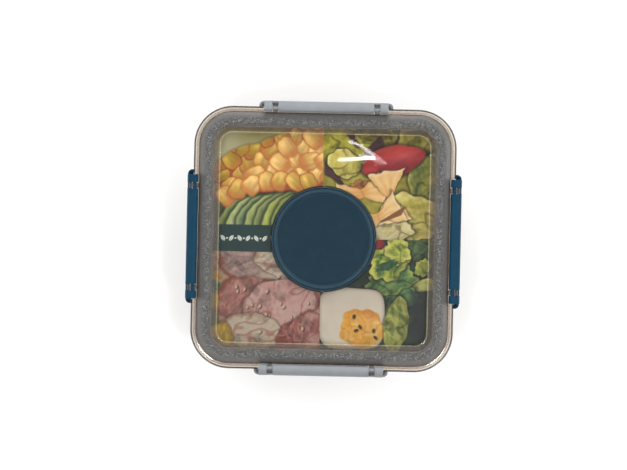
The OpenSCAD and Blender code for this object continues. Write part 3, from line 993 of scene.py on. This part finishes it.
def salad(p):
    """Pale lettuce, a wedge of tomato and pasta, in the back right of the card."""
    p.lay(p.between((116, 108, 38), (196, 188, 84), 7, 21), 1.0)
    greens = [  # centre, half sizes, turn, dark, pale, rim
        (12, 66, 20, 15, 20, (138, 132, 34), (196, 192, 72), (214, 206, 110)),
        (34, 72, 14, 9, -30, (92, 86, 30), (164, 152, 62), (186, 176, 84)),
        (66, 62, 16, 18, 60, (122, 116, 44), (188, 176, 82), (204, 192, 110)),
        (70, 36, 14, 22, 5, (78, 92, 44), (164, 160, 72), (190, 184, 92)),
        (60, 16, 20, 15, -20, (150, 140, 60), (208, 196, 112), (224, 212, 146)),
        (40, 6, 20, 9, 8, (172, 160, 90), (216, 206, 152), (226, 218, 176)),
    ]
    for k, row in enumerate(greens):
        leaf(p, *row, k + 11, 4, 0.07, 5)
    for points in ([(-0.5, 52), (-0.5, 43), (16, 33.5), (9, 44), (5, 51)],
            [(13, 71), (20, 62), (24, 60), (22, 66), (19, 72)],
            [(24, 58), (34, 54), (40, 64), (37, 71), (32, 66)]):
        inside = p.facet(points) + 1.2 * (p.noise(4, 88) - 0.5)
        p.lay(p.mottled((70, 46, 48), 0.7, 0.6, 3, 55), ease(inside, -0.5, 0.7))
    leaf(p, 13, 51, 9, 11.5, 62, (176, 164, 70), (220, 208, 112), (230, 222, 150), 19, 3, 0.06, 4)
    tomato(p, 44.5, 52.5, 24.5, 11.0, 17)
    leaf(p, 24, 35, 7, 5, 10, (132, 84, 48), (188, 128, 76), (170, 110, 60), 17, 3)
    pasta(p, 25, 31, 15, 195, 0.1)
    pasta(p, 44, 29, 17, 100, 0.4)
    pasta(p, 37, 16, 15, 28, 0.9)
    inside = p.facet([(37, 11), (52, 17), (55, 23), (52, 22), (38, 13)])
    p.lay((104, 60, 36), 0.8 * ease(inside, -0.3, 0.5))
    wash = ease(p.noise(6, 71), 0.45, 0.75) * ease(p.y, 14, 4) * ease(p.x, 56, 44)
    p.lay((208, 196, 168), 0.7 * wash)


def tomato(p, cx, cy, rx, ry, turn):
    q, u, v = p.oval(cx, cy, rx, ry, turn, 2.1, 0.02, 3, 2)
    q = q * (1 + 0.16 * ease(-u, 0.3, 1.0) + 0.30 * np.abs(v) * ease(np.abs(u), 0.2, 1.0))
    q = q + 0.10 * (p.noise(3.5, 65, 2) - 0.5) * ease(-u, 0.2, 0.9)
    blush = p.noise(9, 61, 3, 2.4, turn)
    blush = np.clip(1.5 * blush - 0.3 + 0.5 * (p.noise(1.6, 63, 2, 3.0, turn) - 0.5), 0, 1)
    colour = over((134, 34, 42), (196, 62, 60), blush)
    colour = over(colour, (108, 30, 44), ease(v, -0.2, -1.0) * 0.55)
    colour = colour + 0.12 * np.exp(-((u - 0.35) ** 2 * 5 + (v - 0.1) ** 2 * 9))[:, None]
    colour = over(colour, (158, 74, 50), ease(v, 0.45, 0.95) * 0.35)
    p.patch(colour, q, 0.96, 1.22, 0.6)


def greens_and_egg(p):
    """Dark curled leaves and half an egg, in the front right of the card."""
    p.lay(p.between((14, 36, 32), (48, 76, 52), 6, 91), 1.0)
    q, u, v = p.oval(33, -5, 12, 9, -60, 2)
    p.lay(p.mottled((148, 42, 50), 0.8, 0.4, 6, 91), ease(q, 1.0, 0.9))
    leaves = [  # centre, half sizes, turn, dark, pale, rim, frill
        (64, -9, 13, 11, 30, (40, 66, 54), (96, 122, 74), (128, 146, 86), 0.10),
        (67, -18, 6, 5, 60, (92, 116, 50), (190, 196, 92), (206, 208, 110), 0.20),
        (66, -30, 15, 4, 8, (112, 128, 58), (196, 196, 118), (212, 206, 140), 0.30),
        (51, -38, 15, 7.5, -6, (30, 62, 48), (96, 140, 88), (126, 156, 92), 0.10),
        (46, -27, 17, 9, 14, (44, 84, 56), (120, 152, 84), (176, 190, 96), 0.14),
        (44, -15, 13.5, 11.5, 38, (62, 100, 48), (202, 212, 80), (236, 228, 124), 0.22),
        (50, -7, 9, 8, -50, (118, 142, 56), (218, 218, 104), (232, 226, 126), 0.24),
    ]
    for k, (*row, frill) in enumerate(leaves):
        leaf(p, *row, k + 31, 4, 0.10, 5, frill)
    q, u, v = p.oval(43, -17, 8.5, 3.2, 22, 2.0, 0.12, 5, 3)
    p.lay(p.mottled((48, 84, 58), 0.7, 0.7, 2, 44), ease(q, 1.05, 0.8))
    # stems that fan out beside the egg
    for k in range(6):
        lean = 88 - 11 * k
        q, u, v = p.oval(43 + 2.6 * k, -61 + 1.2 * k, 22 - 1.5 * k, 3.4, lean - 6, 2.0, 0.03, 3, k)
        tint = (104, 124, 62) if k % 2 else (178, 174, 92)
        p.light(-0.35 * ease(q, 1.3, 0.96))
        p.lay(p.mottled(tint, 0.62, 0.6, 1.4, 400 + k, 2, stretch=6, turn=lean - 6),
            0.9 * ease(q, 1.0, 0.6) * ease(p.x, 66, 54))
    egg(p)
    leaf(p, 50, -57, 19, 8, 82, (66, 88, 42), (176, 178, 92), (196, 194, 118), 52, 7, 0.05, 4, 0.08)
    dark = ease(p.x, 57, 62) * ease(p.y, -32, -35)
    p.lay(p.mottled((38, 46, 48), 0.8, 0.5, 6, 91), 0.85 * dark)


def egg(p):
    q, u, v = p.oval(20, -53, 22.3, 20.8, 0, 4.2, 0.012, 3, 1)
    p.patch(p.between((200, 190, 174), (228, 218, 204), 12, 51), q, 0.975, 1.10, 0.5)
    p.light(-0.16 * ease(q, 0.86, 1.0) * ease(q, 1.02, 1.0))
    q, u, v = p.oval(27, -59.5, 14.8, 13.4, -8, 2.3, 0.05, 5, 2)
    grain = p.noise(2.4, 53, 3)
    colour = p.between((236, 182, 108), (216, 156, 34), 6, 57)
    colour = over(colour, (240, 210, 132), ease(p.noise(4.5, 59, 2), 0.52, 0.72) * 0.6)
    colour = over(colour, (192, 108, 34), 0.6 * p.ridges(8, 58, 0.05))
    colour = over(colour, (196, 112, 52), ease(v, 0.45, 0.95) * 0.55)
    colour = over(colour, (216, 178, 70), ease(q, 0.90, 0.99) * 0.6)
    p.lay(np.clip(colour * (0.90 + 0.2 * grain)[:, None], 0, 1), ease(q, 1.0, 0.965))
    for cx, cy, turn in ((21.5, -51.5, 70), (25.6, -58.4, 120), (23, -60.8, 30), (34.8, -60.8, 80),
            (36.1, -65.4, 130)):
        seed_at(p, cx, cy, turn, (52, 34, 34), 1.0)


def band(p):
    """The dark band across the left of the card, with a row of small leaves and dots."""
    inside = np.minimum(9.05 - np.abs(p.y + 0.5), -1.3 - p.x)
    p.lay(p.mottled((24, 54, 56), 0.90, 0.2, 14, 70), ease(inside, -0.25, 0.25))
    for k in range(6):
        q, u, v = p.oval(-67.5 + 5.6 * k, -0.6, 2.5, 1.35, 52 if k % 2 else 128)
        pointed = np.abs(v) / np.clip(1 - u * u, 0.02, 1)
        midrib = 1 - 0.8 * ease(np.abs(v), 0.16, 0.06)
        p.lay((226, 232, 228), ease(pointed, 1.0, 0.7) * ease(np.abs(u), 1.0, 0.95) * midrib)
        q, u, v = p.oval(-64.7 + 5.6 * k, -0.6, 0.55, 0.55)
        p.lay((226, 232, 228), ease(q, 1.2, 0.8) * (k < 5))


def paint(x, y):
    """The print's colours (sRGB, 0 to 1) at points of the card, one quarter at a time."""
    left, right = x < -1.3, x >= -1.3
    quarters = [  # painters in order, where, brightness
        ((corn, cucumber, near_corn, band), left & (y >= -0.5), 1),
        ((ham,), left & (y < -0.5), 0.79),
        ((salad,), right & (y >= 0.45), 0.95),
        ((greens_and_egg,), right & (y < 0.45), 0.90),
    ]
    colours = np.zeros((len(x), 3))
    for painters, where, brightness in quarters:
        picture = Picture(x[where], y[where])
        for painter in painters:
            painter(picture)
        picture.colours *= brightness
        if ham in painters:
            band(picture)
        colours[where] = picture.colours
    return colours


def card():
    shape = Shape()
    around, across = 900, 104
    turns = np.linspace(0, 2 * math.pi, around, endpoint=False)
    rows = []
    for t in turns:
        radii = np.linspace(hole_r, card_outline(t), across + 1)
        rows.append([(r * math.cos(t), r * math.sin(t), card_hi.z) for r in radii]
            + [(radii[-1] * math.cos(t), radii[-1] * math.sin(t), card_lo.z),
            (radii[0] * math.cos(t), radii[0] * math.sin(t), card_lo.z)])
    shape.grid(rows, loop=True, closed=True)
    piece = made("printed_insert", shape, [card_print])
    mesh = piece.data
    spots = np.zeros(len(mesh.vertices) * 3)
    mesh.vertices.foreach_get("co", spots)
    spots = spots.reshape(-1, 3) / MM
    colours = np.clip(paint(spots[:, 0], spots[:, 1]), 0, 1)
    colours[spots[:, 2] < (card_lo.z + card_hi.z) / 2] = (0.86, 0.86, 0.83)
    linear = np.where(colours < 0.04045, colours / 12.92, ((colours + 0.055) / 1.055) ** 2.4)
    ink = mesh.color_attributes.new("print", "FLOAT_COLOR", "POINT")
    ink.data.foreach_set("color", np.c_[linear, np.ones(len(linear))].astype(np.float32).ravel())
    place(piece, "insert_card", "printed_card", "insert_card")


# ---- Floor, light and camera ----

def stage():
    """A floor just under the box."""
    reach, drop = 3000, -0.2
    shape = Shape()
    ticks = np.linspace(-reach, reach, 9)
    shape.grid([[(x, y, drop) for x in ticks] for y in ticks])
    made("floor", shape, [floor_paint()])


def panel(name, where, size, radiance):
    """A soft light that faces the box, which the camera doesn't see; its radiance is in units of pi."""
    data = bpy.data.lights.new(name, "AREA")
    data.shape = "RECTANGLE"
    data.size, data.size_y = size
    data.energy = radiance * math.pi * size[0] * size[1] * 4
    lamp = linked(name, data)
    lamp.location = where
    box_middle = Vector((0, 0, 0.06))
    lamp.rotation_euler = (box_middle - Vector(where)).to_track_quat("-Z", "Y").to_euler()
    lamp.visible_camera = False
    return lamp


def tube(name, start, end, width, radiance):
    """A thin straight light overhead, whose reflection lies on the window."""
    height = 0.97
    start, end = Vector(start) * MM, Vector(end) * MM
    along, middle = end - start, (start + end) / 2
    lamp = panel(name, (*middle, height), (along.length, width * MM), radiance)
    lamp.rotation_euler = (0, 0, math.atan2(along.y, along.x))


def lights():
    """A bright ring of sky round a dark patch overhead, soft boxes, and thin tubes over the window."""
    world = bpy.data.worlds.new("studio")
    n = Nodes(world)
    sides = n.add("SeparateXYZ", {0: n.add("TexCoord").outputs["Generated"]}).outputs
    sky = n.ramp(sides["Z"], [(0.0, 0.45), (0.35, 0.85), (0.85, 1.0), (0.955, 0.06)])
    strength = n.times(sides["Y"], 0.85, 1.42)
    n.done(n.add("Background", {"Color": sky, "Strength": strength}), "OutputWorld")
    bpy.context.scene.world = world
    panel("back_softbox", (0, 1.75, 0.95), (1.6, 0.7), 0.6)
    panel("front_softbox", (0, -1.45, 1.15), (1.2, 0.6), 0.1)
    panel("left_softbox", (-1.45, 0.1, 1.15), (0.6, 1.2), 0.1)
    panel("right_softbox", (1.45, 0.1, 1.15), (0.6, 1.2), 0.5)
    for name, x in (("left_front_lamp", -0.34), ("right_front_lamp", 0.34)):
        panel(name, (x, -0.34, 1.35), (0.16, 0.16), 11)
    tube("window_tube", (20.5, 89), (44, 90), 1.5, 8)
    tube("window_tube_end", (40, 90), (61, 91), 2.6, 8)
    bend = [(28.5, 110), (40, 106.5), (51, 100.5), (61, 91.8), (75, 85.5)]
    for k, (width, radiance) in enumerate(((0.5, 9), (0.6, 9), (0.9, 8), (0.4, 6))):
        tube(f"window_thread_{k}", bend[k], bend[k + 1], width, radiance)


def camera():
    """Straight above the lid, a little off its middle and turned a little, as it was photographed."""
    view_w = 0.419               # width that the picture takes in at the lid's height
    height = 1.3
    turn = math.radians(1.25)
    off_x, off_y = -0.0067, 0.0027
    data = bpy.data.cameras.new("camera")
    data.sensor_width = 36
    data.lens = 36 * height / view_w
    data.clip_end = 20
    cam = linked("camera", data)
    cam.location = (off_x * math.cos(turn) - off_y * math.sin(turn),
        off_x * math.sin(turn) + off_y * math.cos(turn), window_z * MM + height)
    cam.rotation_euler = (0, 0, turn)
    bpy.context.scene.camera = cam


bpy.context.scene.view_settings.view_transform = "Standard"
bpy.context.scene.cycles.transparent_max_bounces = 32
for step in (camera, bowl, tray, sauce_cup, sauce_seal, sauce_lid, card, lid, lid_hooks, lid_seal, clips,
        stage, lights):
    step()
